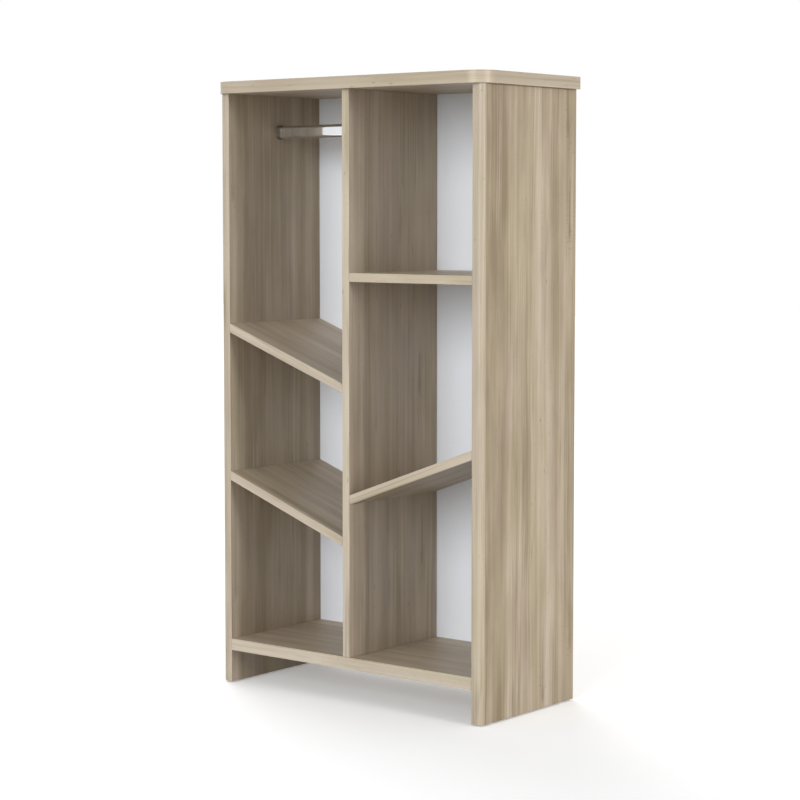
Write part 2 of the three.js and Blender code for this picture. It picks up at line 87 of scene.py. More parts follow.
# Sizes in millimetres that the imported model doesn't give
EDGE_ROUNDING = 0.6  # left by the scraper of the edge banding machine
SHEET_ROUNDING = 0.3  # of the back's sheets
FIT = 0.3  # room round what sits in a bore, a groove or a cup
PAST = 1.0  # how far a cutter reaches past what it makes room for
TOP_CORNER = 43  # radius of the top's front corners
RAIL_WALL = 1.0
CUP_FLOOR = 3.0
CUP_RIM = 0.3
CROSS_WIDTH = 1.0  # of the bars of a cross recess
CROSS_DEPTH = 1.3
SCREW_CROSS = 1.6  # reach of the bars from the middle in a screw, and in a cam
CAM_CROSS = 3.2
GLIDE_DISC = 2.7  # thickness
GLIDE_NAIL = 1.3  # radius
PRINT_WIDTH = 4000  # of the sheet of print that each piece takes its own stretch from
PRINT_LENGTH = 9000

CASE_MIDDLE = (cad_low + cad_high) / 2 / MM  # millimetres

# Fineness
TURNED_SIDES = 40
BORE_SIDES = 32
HEXAGON_SIDES = 6
THREAD_STEPS = 8  # rings in one pitch of a thread
ARC_STEPS = 24
SMOOTH_ANGLE = math.radians(35)
WELD = 0.005  # millimetres within which two points of a cut are one
SAME_PLACE = 0.01  # millimetres within which two places count as the same
FLAT = 0.9985  # least share of a direction in the normal of a face that faces it

# The photograph's camera, fitted to the edges of the case: its place in metres, its turns in degrees, its
# lens and sensor in millimetres, and its shift in widths of the sensor
CAMERA_PLACE = (2.903, -3.599, 1.010)
CAMERA_TURN = 38.70
CAMERA_PITCH = -4.37
CAMERA_LENS = 100.17
CAMERA_SENSOR = 36
CAMERA_SHIFT = -0.025

# Light. Each lamp has its turn from the front towards the right, its height and its width in the sky, all in
# degrees, the power in watts that it throws on a square metre facing it, and its colour
DOME_STRENGTH = 0.46
FLOOR_LIFT = 0.23  # what the floor adds for the camera so that it meets the white of the world
FLOOR_REACH = 14  # metres from its middle to its edges
LAMPS = {
    "front": {"turn": 5, "height": 15, "width": 38, "power": 1.82, "colour": "#F7FAFF"},
    "right": {"turn": 86, "height": 12, "width": 16, "power": 1.35, "colour": "#FFFFFF"},
    "behind": {"turn": 238, "height": 35, "width": 40, "power": 1.3, "colour": "#FFFFFF"},
}


# Colours and nodes


def linear(text):
    """An sRGB hex colour as linear RGBA."""
    channels = [int(text[i : i + 2], 16) / 255 for i in (1, 3, 5)]
    return [c / 12.92 if c <= 0.04045 else ((c + 0.055) / 1.055) ** 2.4 for c in channels] + [1.0]


def outlet(source):
    """The first output in use of a node, or the output that is given."""
    if isinstance(source, bpy.types.Node):
        return next(socket for socket in source.outputs if socket.enabled)
    return source


def add(tree, kind, inputs=None, stops=(), **settings):
    """Adds a node. Each input takes a value, or the node or output that feeds it.

    An input goes by its name or by its number among those in use. The stops are a ramp's places and colours.
    """
    node = tree.nodes.new(f"ShaderNode{kind}")
    for name, value in settings.items():
        setattr(node, name, value)
    for key, value in (inputs or {}).items():
        free = [socket for socket in node.inputs if socket.enabled]
        inlet = free[key] if isinstance(key, int) else next(socket for socket in free if socket.name == key)
        if isinstance(value, (bpy.types.Node, bpy.types.NodeSocket)):
            tree.links.new(outlet(value), inlet)
        else:
            inlet.default_value = value
    for i, (position, colour) in enumerate(stops):
        elements = node.color_ramp.elements
        element = elements[i] if i < 2 else elements.new(position)
        element.position = position
        element.color = linear(colour)
    return node


def new_material(name):
    material = bpy.data.materials.new(name)
    material.use_nodes = True
    material.node_tree.nodes.clear()
    return material, material.node_tree


def millimetres(tree):
    """Places on the object in millimetres."""
    places = add(tree, "TexCoord").outputs["Object"]
    return add(tree, "VectorMath", {0: places, "Scale": 1 / MM}, operation="SCALE")


def grain_places(tree):
    """Places across the grain, through the piece and along the grain, in millimetres."""
    return add(tree, "Attribute", attribute_name="grain").outputs["Vector"]


def drawn_noise(tree, places, width, length, detail=1.0):
    """Noise with spots of a width across the grain and a length along it, in millimetres."""
    scale = (1 / width, 1 / width, 1 / length)
    scaled = add(tree, "VectorMath", {0: places, 1: scale}, operation="MULTIPLY")
    return add(tree, "TexNoise", {"Vector": scaled, "Scale": 1.0, "Detail": detail})


# Materials


def wood_tone(tree, places, tones):
    """The ground of the print: clouds, then long straight bands, then fibres where a patch of them shows."""
    tone = drawn_noise(tree, places, 45, 200, 5.0)
    tone = add(tree, "Math", {0: tone, 1: 0.56, 2: 0.22}, operation="MULTIPLY_ADD")
    bands = drawn_noise(tree, places, 30, 4000, 4.0)
    fibres = drawn_noise(tree, places, 4, 380, 2.0)
    patches = drawn_noise(tree, places, 50, 260, 2.0)
    values = {"Value": patches, "From Min": 0.42, "From Max": 0.64, "To Min": 0.17, "To Max": 0.8}
    share = add(tree, "MapRange", values)
    for layer, strength in ((bands, 0.95), (fibres, share)):
        centred = add(tree, "Math", {0: layer, 1: 0.5}, operation="SUBTRACT")
        tone = add(tree, "Math", {0: centred, 1: strength, 2: tone}, operation="MULTIPLY_ADD")
    shade = add(tree, "Attribute", attribute_name="shade").outputs["Fac"]
    tone = add(tree, "Math", {0: tone, 1: shade}, operation="ADD")
    colour = add(tree, "ValToRGB", {"Fac": tone}, zip(TONE_STEPS, tones))

    # Some places lean to olive and others to a pinkish grey
    lean = drawn_noise(tree, places, 45, 330, 2.0)
    lean = add(tree, "ValToRGB", {"Fac": lean}, ((0.36, "#FFFFF8"), (0.64, "#FFFDFE")))
    return add(tree, "Mix", {"Factor": 1.0, "A": colour, "B": lean}, data_type="RGBA", blend_type="MULTIPLY")


def wood_streaks(tree, places):
    """Dark flames a finger wide, thin lines a metre long, scratches across them and small dark flecks."""
    flames = drawn_noise(tree, places, 12, 150)
    flames = add(tree, "MapRange", {"Value": flames, "From Min": 0.64, "From Max": 0.84, "To Max": 0.65})
    middle = drawn_noise(tree, places, 30, 5000)
    middle = add(tree, "Math", {0: middle, 1: 0.5}, operation="SUBTRACT")
    middle = add(tree, "Math", {0: middle}, operation="ABSOLUTE")
    lines = add(tree, "MapRange", {"Value": middle, "From Max": 0.03, "To Min": 0.6, "To Max": 0.0})
    drawn = drawn_noise(tree, places, 80, 380, 2.0)
    drawn = add(tree, "MapRange", {"Value": drawn, "From Min": 0.45, "From Max": 0.6})
    lines = add(tree, "Math", {0: lines, 1: drawn}, operation="MULTIPLY")
    scratches = drawn_noise(tree, places, 22, 2.2)
    values = {"Value": scratches, "From Min": 0.68, "From Max": 0.8, "To Max": 0.22}
    scratches = add(tree, "MapRange", values)
    flecks = drawn_noise(tree, places, 6, 26)
    flecks = add(tree, "MapRange", {"Value": flecks, "From Min": 0.73, "From Max": 0.82, "To Max": 0.8})
    marks = flames
    for layer in (lines, scratches, flecks):
        marks = add(tree, "Math", {0: marks, 1: layer}, operation="MAXIMUM")
    return marks


def wood_knots(tree, places):
    """Knots drawn out along the grain, each at the end of a dark tail, with cracks across it."""
    across, along = 85, 330
    place = add(tree, "SeparateXYZ", {"Vector": places}).outputs
    flat = add(tree, "CombineXYZ", {"X": place["X"], "Y": place["Z"]})
    cells = add(tree, "VectorMath", {0: flat, 1: (1 / across, 1 / along, 1)}, operation="MULTIPLY")
    spots = add(tree, "TexVoronoi", {"Vector": cells, "Scale": 1.0}, voronoi_dimensions="2D")
    chance = add(tree, "SeparateColor", {"Color": spots.outputs["Color"]})
    chosen = add(tree, "MapRange", {"Value": chance, "From Min": 0.5, "From Max": 0.85})

    offset = add(tree, "VectorMath", {0: cells, 1: spots.outputs["Position"]}, operation="SUBTRACT")
    offset = add(tree, "SeparateXYZ", {"Vector": offset}).outputs
    beside = add(tree, "Math", {0: offset["X"]}, operation="ABSOLUTE")
    tail = add(tree, "MapRange", {"Value": beside, "From Max": 0.05, "To Min": 0.9, "To Max": 0.0})
    begun = add(tree, "MapRange", {"Value": offset["Y"], "From Min": -0.02, "From Max": 0.02})
    faded = add(tree, "MapRange", {"Value": offset["Y"], "From Max": 0.55, "To Min": 1.0, "To Max": 0.0})
    for factor in (begun, faded):
        tail = add(tree, "Math", {0: tail, 1: factor}, operation="MULTIPLY")

    distance = spots.outputs["Distance"]
    values = {"Value": distance, "From Min": 0.015, "From Max": 0.08, "To Min": 0.75, "To Max": 0.0}
    heart = add(tree, "MapRange", values)
    values = {"Value": distance, "From Min": 0.06, "From Max": 0.22, "To Min": 0.5, "To Max": 0.0}
    halo = add(tree, "MapRange", values)
    cracks = drawn_noise(tree, places, 8, 2.5)
    cracks = add(tree, "MapRange", {"Value": cracks, "From Min": 0.55, "From Max": 0.7})
    cracks = add(tree, "Math", {0: cracks, 1: halo}, operation="MULTIPLY")

    marks = add(tree, "Math", {0: tail, 1: heart}, operation="MAXIMUM")
    marks = add(tree, "Math", {0: marks, 1: cracks}, operation="MAXIMUM")
    return add(tree, "Math", {0: marks, 1: chosen}, operation="MULTIPLY")


def printed_wood(name, start, roughness, tones, strength=1.0):
    """Wood print under melamine. The press plate leaves a fine satin grain, which spreads the gloss.

    The strength is that of the streaks and knots over the ground.
    """
    material, tree = new_material(name)
    grain = add(tree, "VectorMath", {0: grain_places(tree), 1: start}, operation="ADD")

    # The grain runs straight, and wanders sideways by a few millimetres
    room = 13.0
    wander = drawn_noise(tree, grain, 60, 320)
    wander = add(tree, "Math", {0: wander, 1: room, 2: -room / 2}, operation="MULTIPLY_ADD")
    sideways = add(tree, "CombineXYZ", {"X": wander})
    places = add(tree, "VectorMath", {0: grain, 1: sideways}, operation="ADD")

    colour = wood_tone(tree, places, tones)
    for marks, ink in ((wood_streaks(tree, places), "#86765D"), (wood_knots(tree, places), "#77664F")):
        marks = add(tree, "Math", {0: marks, 1: strength}, operation="MULTIPLY")
        colour = add(tree, "Mix", {"Factor": marks, "A": colour, "B": linear(ink)}, data_type="RGBA")

    # The pressed pores, drawn coarser than their real 0.3 mm so that they show
    pores = drawn_noise(tree, grain, 1.4, 26, 2.0)
    pressed = add(tree, "Bump", {"Strength": 0.12, "Distance": 0.05 * MM, "Height": pores})
    shader = add(tree, "BsdfPrincipled", {"Base Color": colour, "Roughness": roughness, "Normal": pressed})
    add(tree, "OutputMaterial", {"Surface": shader})
    return material


def raw_chipboard():
    """Cut chipboard: pale flat chips of a few millimetres, with darker glue and gaps between them."""
    material, tree = new_material("raw_chipboard")
    chip = (1 / 2.2, 1 / 1.0, 1 / 3.6)
    places = add(tree, "VectorMath", {0: grain_places(tree), 1: chip}, operation="MULTIPLY")
    chips = add(tree, "TexVoronoi", {"Vector": places, "Scale": 1.0}).outputs
    chance = add(tree, "SeparateColor", {"Color": chips["Color"]})
    tones = ((0.0, "#8A6C48"), (0.35, "#B8966A"), (0.7, "#CDB085"), (1.0, "#DCC59E"))
    colour = add(tree, "ValToRGB", {"Fac": chance}, tones)
    rough = add(tree, "Bump", {"Strength": 0.5, "Distance": 0.3 * MM, "Height": chips["Distance"]})
    shader = add(tree, "BsdfPrincipled", {"Base Color": colour, "Roughness": 0.9, "Normal": rough})
    add(tree, "OutputMaterial", {"Surface": shader})
    return material


def white_lacquer():
    """The lacquered face of hardboard: a thin rolled coat with a faint orange peel."""
    material, tree = new_material("white_lacquered_hardboard")
    peel = add(tree, "TexNoise", {"Vector": millimetres(tree), "Scale": 0.35, "Detail": 2.0})
    colour = add(tree, "ValToRGB", {"Fac": peel}, ((0.2, "#E9ECF0"), (0.8, "#EFF2F6")))
    rolled = add(tree, "Bump", {"Strength": 0.15, "Distance": 0.1 * MM, "Height": peel})
    shader = add(tree, "BsdfPrincipled", {"Base Color": colour, "Roughness": 0.38, "Normal": rolled})
    add(tree, "OutputMaterial", {"Surface": shader})
    return material


def raw_hardboard():
    """The back of hardboard: fine brown fibres pressed flat."""
    material, tree = new_material("raw_hardboard")
    places = millimetres(tree)
    clouds = add(tree, "TexNoise", {"Vector": places, "Scale": 0.05, "Detail": 6.0, "Roughness": 0.7})
    fibres = add(tree, "TexNoise", {"Vector": places, "Scale": 0.7, "Detail": 3.0, "Distortion": 1.5})
    tone = add(tree, "Math", {0: fibres, 1: 0.5, 2: clouds}, operation="MULTIPLY_ADD")
    colour = add(tree, "ValToRGB", {"Fac": tone}, ((0.5, "#846548"), (0.75, "#93724F"), (1.0, "#A07E59")))
    pressed = add(tree, "Bump", {"Strength": 0.3, "Distance": 0.1 * MM, "Height": fibres})
    shader = add(tree, "BsdfPrincipled", {"Base Color": colour, "Roughness": 0.75, "Normal": pressed})
    add(tree, "OutputMaterial", {"Surface": shader})
    return material


def moulded_plastic(name, pale, dark, roughness):
    """Moulded or extruded plastic: an even colour, with the fine texture of a spark-eroded mould."""
    material, tree = new_material(name)
    places = millimetres(tree)
    flow = add(tree, "TexNoise", {"Vector": places, "Scale": 0.15, "Detail": 2.0})
    grit = add(tree, "TexNoise", {"Vector": places, "Scale": 4.0, "Detail": 1.0})
    colour = add(tree, "ValToRGB", {"Fac": flow}, ((0.3, dark), (0.7, pale)))
    texture = add(tree, "Bump", {"Strength": 0.1, "Distance": 0.03 * MM, "Height": grit})
    shader = add(tree, "BsdfPrincipled", {"Base Color": colour, "Roughness": roughness, "Normal": texture})
    add(tree, "OutputMaterial", {"Surface": shader})
    return material


def worked_metal(name, pale, dark, spot, smooth, rough):
    """Metal whose tone and gloss vary a little over spots of some millimetres."""
    material, tree = new_material(name)
    spots = add(tree, "TexNoise", {"Vector": millimetres(tree), "Scale": 1 / spot, "Detail": 3.0})
    colour = add(tree, "ValToRGB", {"Fac": spots}, ((0.35, dark), (0.65, pale)))
    values = {"Value": spots, "From Min": 0.3, "From Max": 0.7, "To Min": smooth, "To Max": rough}
    roughness = add(tree, "MapRange", values)
    shader = add(tree, "BsdfPrincipled", {"Base Color": colour, "Metallic": 1.0, "Roughness": roughness})
    add(tree, "OutputMaterial", {"Surface": shader})
    return material


def turned_beech():
    """Beech rod: pale pinkish wood with short dark flecks along the grain."""
    material, tree = new_material("turned_beech")
    places = grain_places(tree)
    rings = drawn_noise(tree, places, 2.5, 60, 3.0)
    colour = add(tree, "ValToRGB", {"Fac": rings}, ((0.3, "#BF9468"), (0.7, "#D8B48A")))
    flecks = drawn_noise(tree, places, 0.5, 3)
    flecks = add(tree, "MapRange", {"Value": flecks, "From Min": 0.6, "From Max": 0.7, "To Max": 0.5})
    colour = add(tree, "Mix", {"Factor": flecks, "A": colour, "B": linear("#8F6640")}, data_type="RGBA")
    shader = add(tree, "BsdfPrincipled", {"Base Color": colour, "Roughness": 0.65})
    add(tree, "OutputMaterial", {"Surface": shader})
    return material


# The tones of the print from dark to pale, and where they stand on its ramp
TONE_STEPS = (0.30, 0.42, 0.52, 0.62, 0.76)
FACE_TONES = ("#8F7D64", "#A19077", "#AD9C84", "#B7A790", "#C6B7A3")
# Paler and greyer tones for the faces inside the case: painted light that lifts and cools their shade
SHADE_LIFTED_TONES = ("#9D8D77", "#A99A85", "#B0A18D", "#B8A995", "#C2B5A2")
BAND_TONES = ("#AEA08A", "#B8AA94", "#BDAF9A", "#C2B5A0", "#C9BDA9")

# The faces inside the case take a paler, greyer and calmer copy of the print, with painted light in it: its
# paler, greyer tones lift and cool the shade inside the case. The band is a smoother and paler strip with a
# print of its own
DECOR = printed_wood("melamine_wood_decor", (0, 0, 0), 0.46, FACE_TONES)
SHADE_LIFTED_DECOR = printed_wood("shade_lifted_melamine_wood_decor", (0, 0, 0), 0.46, SHADE_LIFTED_TONES, 0.65)
BAND = printed_wood("edge_band_wood_decor", (310, 70, 900), 0.37, BAND_TONES)

CHIPBOARD = raw_chipboard()
LACQUER = white_lacquer()
HARDBOARD = raw_hardboard()
BEECH = turned_beech()

# The strip is an even dull white, the caps have the colour of the print, and the glides are a duller white
STRIP_PVC = moulded_plastic("extruded_white_pvc", "#E6E6E4", "#DFDFDC", 0.4)
CAP_PLASTIC = moulded_plastic("moulded_beige_polyethylene", "#BDAE96", "#B5A68D", 0.45)
GLIDE_PLASTIC = moulded_plastic("moulded_white_polyethylene", "#E2E1DC", "#D8D7D1", 0.5)

# Chrome mirrors the room, and satin nickel spreads the same light to a soft grey. Zinc plate has a fine
# bluish mottle, and the cast cams are duller and rougher
CHROME = worked_metal("chrome_plated_steel", "#EAEBED", "#E4E5E7", 40, 0.05, 0.1)
SATIN_NICKEL = worked_metal("satin_nickel_on_die_cast_zinc", "#9C968D", "#908A81", 6, 0.4, 0.48)
ZINC_PLATE = worked_metal("zinc_plated_steel", "#C3C6CA", "#AFB3B8", 1.2, 0.26, 0.42)
DIE_CAST = worked_metal("die_cast_zinc", "#B2B4B7", "#A2A4A7", 0.8, 0.4, 0.6)

# How much paler or darker the bands and the inner faces of a piece are than the middle of their print
BAND_SHADES = {
    "top_panel": -0.12,
    "side_panel_left": -0.20,
    "side_panel_right": -0.14,
    "centre_divider": 0.18,
    "bottom_shelf": 0.20,
}
INSIDE_SHADES = {"side_panel_left": -0.06, "centre_divider": 0.04}
PRINT_SHADES = {BANDED_EDGE: BAND_SHADES, INNER_FACE: INSIDE_SHADES}


# Mesh tools, all in millimetres


@functools.cache
def corners(node):
    """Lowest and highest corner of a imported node."""
    low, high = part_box(node)
    return low / MM, high / MM


def share_space(a, b):
    """Whether two boxes, each given by its corners, share space."""
    return all(a[0][i] < b[1][i] - SAME_PLACE and b[0][i] < a[1][i] - SAME_PLACE for i in range(3))


def block(a, b):
    """A block between two opposite corners, given in any order."""
    a, b = Vector(a), Vector(b)
    size = [abs(value) for value in b - a]
    bm = bmesh.new()
    bmesh.ops.create_cube(bm, size=1)
    place = Matrix.Translation((a + b) / 2) @ Matrix.Diagonal((*size, 1))
    bmesh.ops.transform(bm, matrix=place, verts=bm.verts)
    return bm


def join_rings(bm, near, far):
    """Faces between two rings of as many points. A ring of one point closes the shape."""
    count = max(len(near), len(far))
    for i in range(count):
        j = (i + 1) % count
        if len(near) == 1:
            bm.faces.new((near[0], far[j], far[i]))
        elif len(far) == 1:
            bm.faces.new((near[i], near[j], far[0]))
        else:
            bm.faces.new((near[i], near[j], far[j], far[i]))


def prism(near, far):
    """A closed solid between two outlines of as many points."""
    bm = bmesh.new()
    near = [bm.verts.new(point) for point in near]
    far = [bm.verts.new(point) for point in far]
    bm.faces.new(near)
    bm.faces.new(far)
    join_rings(bm, near, far)
    bmesh.ops.recalc_face_normals(bm, faces=bm.faces)
    return bm


def turned(profile, start, aim, sides=TURNED_SIDES):
    """A closed turned solid from (radius, distance) pairs along a direction. It starts and ends on the axis.

    A radius is a number, or a function of the angle where the piece is fluted or threaded.
    """
    bm = bmesh.new()
    turn = Z.rotation_difference(aim).to_matrix()
    rings = []
    for radius, distance in profile:
        if radius == 0:
            rings.append([bm.verts.new(start + aim * distance)])
            continue
        ring = []
        for i in range(sides):
            angle = 2 * math.pi * i / sides
            reach = radius(angle) if callable(radius) else radius
            place = Vector((reach * math.cos(angle), reach * math.sin(angle), distance))
            ring.append(bm.verts.new(start + turn @ place))
        rings.append(ring)
    for near, far in zip(rings, rings[1:]):
        join_rings(bm, near, far)
    bmesh.ops.recalc_face_normals(bm, faces=bm.faces)
    return bm


def edges_where(bm, test):
    """The edges both of whose ends pass a test."""
    return [edge for edge in bm.edges if all(test(vert.co) for vert in edge.verts)]


def bevel(bm, edges, width, steps, clamp=False):
    """Rounds edges. A clamped rounding stops where it would run past its neighbours."""
    settings = {"segments": steps, "profile": 0.5, "affect": "EDGES", "clamp_overlap": clamp}
    bmesh.ops.bevel(bm, geom=edges, offset=width, **settings)


def round_edges(bm, width, steps=3, chosen=None):
    """Rounds the outward edges that are sharp."""
    edges = [
        edge
        for edge in (bm.edges if chosen is None else chosen)
        if len(edge.link_faces) == 2 and edge.is_convex and edge.calc_face_angle() > SMOOTH_ANGLE
    ]
    bevel(bm, edges, width, steps, clamp=True)
    return bm


def as_object(name, bm, materials=(None,) * 4):
    """Makes an object. A part of a cut has an empty slot for each material number of a board."""
    mesh = bpy.data.meshes.new(name)
    bm.to_mesh(mesh)
    bm.free()
    for material in materials:
        mesh.materials.append(material)
    made = bpy.data.objects.new(name, mesh)
    bpy.context.scene.collection.objects.link(made)
    return made


def combine(bm, others, operation="DIFFERENCE"):
    """Cuts closed solids out of one, or joins them to it. New faces keep the others' material numbers."""
    body = as_object("body", bm)
    tools = [as_object("tool", other) for other in others]
    for tool in tools:
        modifier = body.modifiers.new("combine", "BOOLEAN")
        modifier.operation = operation
        modifier.solver = "EXACT"
        modifier.material_mode = "INDEX"
        modifier.object = tool
    evaluated = body.evaluated_get(bpy.context.evaluated_depsgraph_get())
    mesh = bpy.data.meshes.new_from_object(evaluated)
    result = bmesh.new()
    result.from_mesh(mesh)
    bmesh.ops.remove_doubles(result, verts=result.verts, dist=WELD)
    for used in [mesh, body.data] + [tool.data for tool in tools]:
        bpy.data.meshes.remove(used)
    return result


def number_faces(bm, number):
    """Gives the faces their material's number: the same for all, or what a function says for each."""
    for face in bm.faces:
        face.material_index = number(face) if callable(number) else number
    return bm


def mark_grain(piece, node, along, thickness, band_places=None):
    """Stores where each face corner lies in the print, in millimetres, and each face's shade.

    A place is across the grain, through the piece and along the grain. A start of its own gives each piece
    its own stretch of the print. A function can give the places on its bands.
    """
    across = thickness.cross(along)
    low, high = corners(node)
    draw = random.Random(node)
    start = Vector((draw.uniform(0, PRINT_WIDTH), 0, draw.uniform(0, PRINT_LENGTH)))
    values = []
    for face in piece.data.polygons:
        for i in face.vertices:
            place = piece.data.vertices[i].co / MM - (low + high) / 2
            if band_places and face.material_index == BANDED_EDGE:
                found = band_places(place)
            else:
                found = Vector((place.dot(across), place.dot(thickness), place.dot(along)))
            values += [*(found + start)]
    attribute = piece.data.attributes.new("grain", "FLOAT_VECTOR", "CORNER")
    attribute.data.foreach_set("vector", values)
    shades = [PRINT_SHADES.get(face.material_index, {}).get(node, 0.0) for face in piece.data.polygons]
    shade = piece.data.attributes.new("shade", "FLOAT", "FACE")
    shade.data.foreach_set("value", shades)


def finish_piece(node, bm, *materials):
    """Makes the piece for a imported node: smooth up to its sharp edges, and moving with the case."""
    for face in bm.faces:
        face.smooth = True
    for edge in bm.edges:
        edge.smooth = len(edge.link_faces) == 2 and edge.calc_face_angle() < SMOOTH_ANGLE
    bmesh.ops.scale(bm, vec=(MM, MM, MM), verts=bm.verts)
    piece = as_object(f"{node}_finished", bm, materials)
    normals = piece.modifiers.new("normals", "WEIGHTED_NORMAL")
    normals.keep_sharp = True
    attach(piece, "root")
    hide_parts(node)
    return piece


# Fastenings. Each profile is (radius, distance) pairs from the head, for a length and the largest radius


def rounded_rim(radius, rim, steps=6):
    """The rounding between the flat end and the wall of a disc, as profile points."""
    turns = [math.pi * i / (2 * steps) for i in range(steps + 1)]
    return [(radius - rim + rim * math.sin(turn), rim - rim * math.cos(turn)) for turn in turns]


def thread(core, crest, pitch, begin, end):
    """Rings of a screw thread with a flat root, which rises at its start and dies away at its end."""
    flank = 0.22  # of each side of the thread, in pitches

    def ring(distance):
        strength = min(1, (distance - begin) / pitch, (end - distance) / pitch)

        def reach(angle):
            phase = (distance / pitch - angle / (2 * math.pi)) % 1
            return core + (crest - core) * strength * max(0, 1 - abs(phase - 0.5) / flank)

        return reach, distance

    count = round((end - begin) / pitch * THREAD_STEPS)
    return [ring(begin + (end - begin) * i / count) for i in range(count + 1)]


def dowel(length, radius):
    """Chamfered ends, and fine flutes that let the air and the glue out."""
    chamfer = 1.0
    flutes = 16
    flute_depth = 0.25

    def fluted(angle):
        return radius - flute_depth * (0.5 + 0.5 * math.cos(flutes * angle)) ** 3

    end = radius - chamfer
    return [(0, 0), (end, 0), (fluted, chamfer), (fluted, length - chamfer), (end, length), (0, length)]


def case_screw(length, head):
    """A flat countersunk head, a smooth collar that centres it, a coarse deep thread and a blunt cone."""
    collar, collar_end = 3.5, 13.5
    core, crest, pitch = 2.2, 3.2, 3.0
    threads = thread(core, crest, pitch, collar_end, length - crest)
    return [(0, 0), (head, 0), (collar, head - collar), (collar, collar_end), *threads, (0, length)]


def small_screw(length, head):
    """A countersunk screw for chipboard, with a sharp point."""
    core, crest, pitch = 1.15, 1.75, 1.5
    rim = 0.25
    neck, cone_end = core + 0.2, 1.9
    smooth, point = 1, 2.5
    threads = thread(core, crest, pitch, cone_end + smooth, length - point)
    return [(0, 0), (head, 0), (head, rim), (neck, cone_end), *threads, (0, length)]


def cam_bolt(length, collar):
    """From the head that the cam pulls on: head, slim neck, shank, collar and a coarse thread."""
    head, head_end = 3.4, 3.0
    neck, neck_end = 2.1, 9.8
    shank = 2.8
    collar_start, collar_end, thread_end = length - 14, length - 11.3, length - 2
    core, crest, pitch = 2.0, 3.1, 2.5
    rounding = 0.5
    return [
        (0, 0),
        (head - rounding, 0),
        (head, rounding),
        (head, head_end - rounding),
        (head - rounding, head_end),
        (neck, head_end),
        (neck, neck_end),
        (shank, neck_end + rounding),
        (shank, collar_start),
        (collar, collar_start + rounding),
        (collar, collar_end),
        *thread(core, crest, pitch, collar_end, thread_end),
        (0, length),
    ]


def cam(length, radius):
    """A drum with rounded rims."""
    rim = 0.5
    near = rounded_rim(radius, rim)
    far = [(reach, length - distance) for reach, distance in reversed(near)]
    return [(0, 0), *near, *far, (0, length)]


def screw_cap(length, radius):
    """A flat disc with a rounded rim. Its pin is added to it."""
    thickness, rim = 2.0, 0.5
    return [(0, 0), *rounded_rim(radius, rim), (radius, thickness), (0, thickness)]


def glide(length, radius):
    """A disc with a rounded foot on a nail."""
    foot, point = 1.0, 2.5
    nail = [(GLIDE_NAIL, GLIDE_DISC), (GLIDE_NAIL, length - point)]
    return [(0, 0), *rounded_rim(radius, foot), (radius, GLIDE_DISC), *nail, (0, length)]


def list_fastenings():
    """Each turned fastening: which way it points from its head, and its profile."""
    found = {}
    for side, outward in SIDES.items():
        found[f"rail_socket_screw_{side}"] = (outward, small_screw)
        found[f"wall_bracket_screw_{side}"] = (Z, small_screw)
        for row in ROWS:
            found[f"top_screw_{side}_{row}"] = (-Z, case_screw)
            found[f"screw_cap_{side}_{row}"] = (-Z, screw_cap)
            found[f"cam_{side}_{row}"] = (Z, cam)
            found[f"cam_bolt_{side}_{row}"] = (outward, cam_bolt)
            found[f"glide_{side}_{row}"] = (Z, glide)
            for shelf in INNER_SHELVES:
                found[f"{shelf}_dowel_{side}_{row}"] = (outward, dowel)
    for row in ROWS:
        found[f"top_dowel_{row}"] = (Z, dowel)
        found[f"divider_screw_{row}"] = (Z, case_screw)
    return found


FASTENINGS = list_fastenings()


def head_place(node):
    """The middle of the face that a fastening starts from."""
    aim = FASTENINGS[node][0]
    low, high = corners(node)
    return (low + high) / 2 - aim * abs((high - low).dot(aim)) / 2


def turned_at(node, profile, sides=TURNED_SIDES):
    """A turned solid on the axis of a fastening, with its distances from the head."""
    return turned(profile, head_place(node), FASTENINGS[node][0], sides)


def profile_of(node):
    aim, make = FASTENINGS[node]
    low, high = corners(node)
    size = high - low
    along = max(range(3), key=lambda i: abs(aim[i]))
    return make(size[along], max(size[i] for i in range(3) if i != along) / 2)


def bore_for(node):
    """A cutter that the fastening slides into. It never narrows towards the head and runs past both ends."""
    samples = 100
    turns = [2 * math.pi * i / samples for i in range(samples)]
    steps = []
    reach = 0
    for radius, distance in reversed(profile_of(node)):
        largest = max(map(radius, turns)) if callable(radius) else radius
        reach = max(reach, largest + FIT)
        steps.append((reach, distance))
    steps = [(reach, -PAST), *steps[::-1], (steps[0][0], steps[0][1] + PAST)]
    neighbours = zip(steps, steps[1:], steps[2:])
    bends = [step for before, step, after in neighbours if not before[0] == step[0] == after[0]]
    profile = [(0, -PAST), steps[0], *bends, steps[-1], (0, steps[-1][1])]
    return turned_at(node, profile, BORE_SIDES)


# Boards


def hull_of(node):
    """The plain outer form of a packed board: its convex hull, without the bores and the groove."""
    bm = bmesh.new()
    bm.from_mesh(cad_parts[node].data)
    bmesh.ops.scale(bm, vec=(1 / MM, 1 / MM, 1 / MM), verts=bm.verts)
    bmesh.ops.delete(bm, geom=bm.edges[:], context="EDGES_FACES")
    bmesh.ops.remove_doubles(bm, verts=bm.verts, dist=SAME_PLACE)
    hull = bmesh.ops.convex_hull(bm, input=bm.verts)
    spare = hull["geom_interior"] + hull["geom_unused"]
    loose = {part for part in spare if isinstance(part, bmesh.types.BMVert)}
    bmesh.ops.delete(bm, geom=list(loose), context="VERTS")
    bmesh.ops.dissolve_limit(bm, angle_limit=math.radians(1), verts=bm.verts, edges=bm.edges)
    bmesh.ops.recalc_face_normals(bm, faces=bm.faces)
    return bm


def groove_for_back():
    """The room of both sheets of the back, as one cutter."""
    lows, highs = zip(*(corners(node) for node in BACK_SHEETS))
    room = Vector((FIT, FIT, FIT))
    low = Vector([min(values) for values in zip(*lows)]) - room
    high = Vector([max(values) for values in zip(*highs)]) + room
    return block(low, high)


